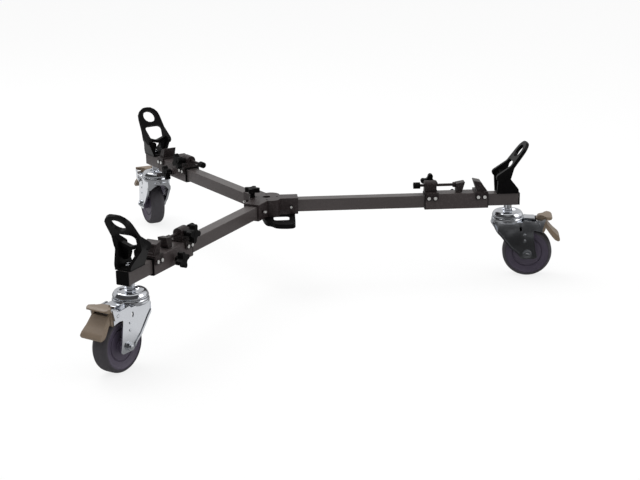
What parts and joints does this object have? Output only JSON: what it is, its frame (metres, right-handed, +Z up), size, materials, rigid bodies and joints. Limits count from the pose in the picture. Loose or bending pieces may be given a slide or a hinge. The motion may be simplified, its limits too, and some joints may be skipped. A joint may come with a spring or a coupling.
{
  "type": "tripod dolly",
  "caption": "Tripod dolly: square arms on a cast hub with a pull handle, each with a sliding foot clamp, a leaning foot cradle and a swivel caster with a pedal brake.",
  "frame": {"origin": "middle of the bounding box, on the floor under the wheels", "axes": "+X along the right arm, +Z up"},
  "size_m": [0.9264, 1.057, 0.277],
  "materials": {
    "tube": "satin grey-brown paint",
    "sleeve": "satin grey-brown paint",
    "hub": "satin dark grey-brown paint on a casting",
    "clamp": "dark satin paint",
    "cradle": "black satin paint",
    "black_plastic": "moulded, fine grain",
    "zinc": "bright zinc plate",
    "chrome": "polished",
    "tread": "smooth rubber",
    "core": "purple-grey moulding",
    "pedal": "tan moulding"
  },
  "bodies": {
    "frame": {"hub_body": "hub", "carry_handle": "black_plastic", "right_arm_tube": "tube", "right_end_cap": "black_plastic", "right_arm_bolt": "zinc", "right_foot_cradle": "cradle", "right_caster_stem": "zinc", "right_caster_head": "chrome", "rear_arm_tube": "tube", "rear_end_cap": "black_plastic", "rear_arm_bolt": "zinc", "rear_foot_cradle": "cradle", "rear_caster_stem": "zinc", "rear_caster_head": "chrome", "front_arm_tube": "tube", "front_end_cap": "black_plastic", "front_arm_bolt": "zinc", "front_foot_cradle": "cradle", "front_caster_stem": "zinc", "front_caster_head": "chrome"},
    "hub_knob": {"hub_knob": "black_plastic"},
    "right_carriage": {"right_carriage_sleeve": "sleeve", "right_carriage_liner": "black_plastic", "right_clamp_block": "clamp", "right_fixed_jaw": "clamp"},
    "right_carriage_lock": {"right_sleeve_knob": "black_plastic"},
    "right_jaw": {"right_sliding_jaw": "clamp", "right_rod_knob": "black_plastic"},
    "right_jaw_lock": {"right_rod_lock_knob": "black_plastic"},
    "right_caster": {"right_caster_fork": "zinc", "right_wheel_axle": "zinc"},
    "right_wheel": {"right_tyre": "tread", "right_wheel_core": "core"},
    "right_brake": {"right_brake_pedal": "pedal"},
    "rear_carriage": {"rear_carriage_sleeve": "sleeve", "rear_carriage_liner": "black_plastic", "rear_clamp_block": "clamp", "rear_fixed_jaw": "clamp"},
    "rear_carriage_lock": {"rear_sleeve_knob": "black_plastic"},
    "rear_jaw": {"rear_sliding_jaw": "clamp", "rear_rod_knob": "black_plastic"},
    "rear_jaw_lock": {"rear_rod_lock_knob": "black_plastic"},
    "rear_caster": {"rear_caster_fork": "zinc", "rear_wheel_axle": "zinc"},
    "rear_wheel": {"rear_tyre": "tread", "rear_wheel_core": "core"},
    "rear_brake": {"rear_brake_pedal": "pedal"},
    "front_carriage": {"front_carriage_sleeve": "sleeve", "front_carriage_liner": "black_plastic", "front_clamp_block": "clamp", "front_fixed_jaw": "clamp"},
    "front_carriage_lock": {"front_sleeve_knob": "black_plastic"},
    "front_jaw": {"front_sliding_jaw": "clamp", "front_rod_knob": "black_plastic"},
    "front_jaw_lock": {"front_rod_lock_knob": "black_plastic"},
    "front_caster": {"front_caster_fork": "zinc", "front_wheel_axle": "zinc"},
    "front_wheel": {"front_tyre": "tread", "front_wheel_core": "core"},
    "front_brake": {"front_brake_pedal": "pedal"}
  },
  "joints": [
    {"name": "hub_knob_turn", "type": "hinge", "parent": "frame", "child": "hub_knob", "pos_m": [-0.1637, -0.00397, 0.178], "axis": [0, 0, 1], "range_deg": [0, 360]},
    {"name": "right_carriage_slide", "type": "slide", "parent": "frame", "child": "right_carriage", "axis": [1, 0, 0], "range_m": [-0.2535, 0.0155]},
    {"name": "right_carriage_lock_turn", "type": "hinge", "parent": "right_carriage", "child": "right_carriage_lock", "pos_m": [0.2438, 0.01603, 0.1575], "axis": [0, 1, 0], "range_deg": [0, 360]},
    {"name": "right_jaw_slide", "type": "slide", "parent": "right_carriage", "child": "right_jaw", "axis": [1, 0, 0], "range_m": [-0.0334, 0.0078]},
    {"name": "right_jaw_lock_turn", "type": "hinge", "parent": "right_carriage", "child": "right_jaw_lock", "pos_m": [0.1963, 0.01203, 0.192], "axis": [0, 1, 0], "range_deg": [0, 360]},
    {"name": "right_caster_swivel", "type": "hinge", "parent": "frame", "child": "right_caster", "pos_m": [0.3543, -0.00397, 0.12], "axis": [0, 0, 1], "continuous": true},
    {"name": "right_wheel_roll", "type": "hinge", "parent": "right_caster", "child": "right_wheel", "pos_m": [0.39471, -0.01088, 0.05], "axis": [0.1685, 0.9857, 0], "continuous": true},
    {"name": "right_brake_press", "type": "hinge", "parent": "right_caster", "child": "right_brake", "pos_m": [0.41738, -0.01476, 0.111], "axis": [0.1685, 0.9857, 0], "range_deg": [0, 12]},
    {"name": "rear_carriage_slide", "type": "slide", "parent": "frame", "child": "rear_carriage", "axis": [-0.5, 0.866, 0], "range_m": [-0.249, 0.02]},
    {"name": "rear_carriage_lock_turn", "type": "hinge", "parent": "rear_carriage", "child": "rear_carriage_lock", "pos_m": [-0.34053, 0.31079, 0.1575], "axis": [-0.866, -0.5, 0], "range_deg": [0, 360]},
    {"name": "rear_jaw_slide", "type": "slide", "parent": "rear_carriage", "child": "rear_jaw", "axis": [-0.5, 0.866, 0], "range_m": [-0.0004, 0.0408]},
    {"name": "rear_jaw_lock_turn", "type": "hinge", "parent": "rear_carriage", "child": "rear_jaw_lock", "pos_m": [-0.31331, 0.27165, 0.192], "axis": [-0.866, -0.5, 0], "range_deg": [0, 360]},
    {"name": "rear_caster_swivel", "type": "hinge", "parent": "frame", "child": "rear_caster", "pos_m": [-0.3807, 0.42038, 0.12], "axis": [0, 0, 1], "continuous": true},
    {"name": "rear_wheel_roll", "type": "hinge", "parent": "rear_caster", "child": "rear_wheel", "pos_m": [-0.395, 0.45881, 0.05], "axis": [-0.9373, -0.3486, 0], "continuous": true},
    {"name": "rear_brake_press", "type": "hinge", "parent": "rear_caster", "child": "rear_brake", "pos_m": [-0.40301, 0.48037, 0.111], "axis": [-0.9373, -0.3486, 0], "range_deg": [0, 12]},
    {"name": "front_carriage_slide", "type": "slide", "parent": "frame", "child": "front_carriage", "axis": [-0.5, -0.866, 0], "range_m": [-0.2445, 0.0245]},
    {"name": "front_carriage_lock_turn", "type": "hinge", "parent": "front_carriage", "child": "front_carriage_lock", "pos_m": [-0.30363, -0.33483, 0.1575], "axis": [0.866, -0.5, 0], "range_deg": [0, 360]},
    {"name": "front_jaw_slide", "type": "slide", "parent": "front_carriage", "child": "front_jaw", "axis": [-0.5, -0.866, 0], "range_m": [-0.0274, 0.0138]},
    {"name": "front_jaw_lock_turn", "type": "hinge", "parent": "front_carriage", "child": "front_jaw_lock", "pos_m": [-0.28335, -0.2917, 0.192], "axis": [0.866, -0.5, 0], "range_deg": [0, 360]},
    {"name": "front_caster_swivel", "type": "hinge", "parent": "frame", "child": "front_caster", "pos_m": [-0.3807, -0.42832, 0.12], "axis": [0, 0, 1], "continuous": true},
    {"name": "front_wheel_roll", "type": "hinge", "parent": "front_caster", "child": "front_wheel", "pos_m": [-0.40492, -0.46141, 0.05], "axis": [0.807, -0.5906, 0], "continuous": true},
    {"name": "front_brake_press", "type": "hinge", "parent": "front_caster", "child": "front_brake", "pos_m": [-0.4185, -0.47997, 0.111], "axis": [0.807, -0.5906, 0], "range_deg": [0, 12]}
  ]
}
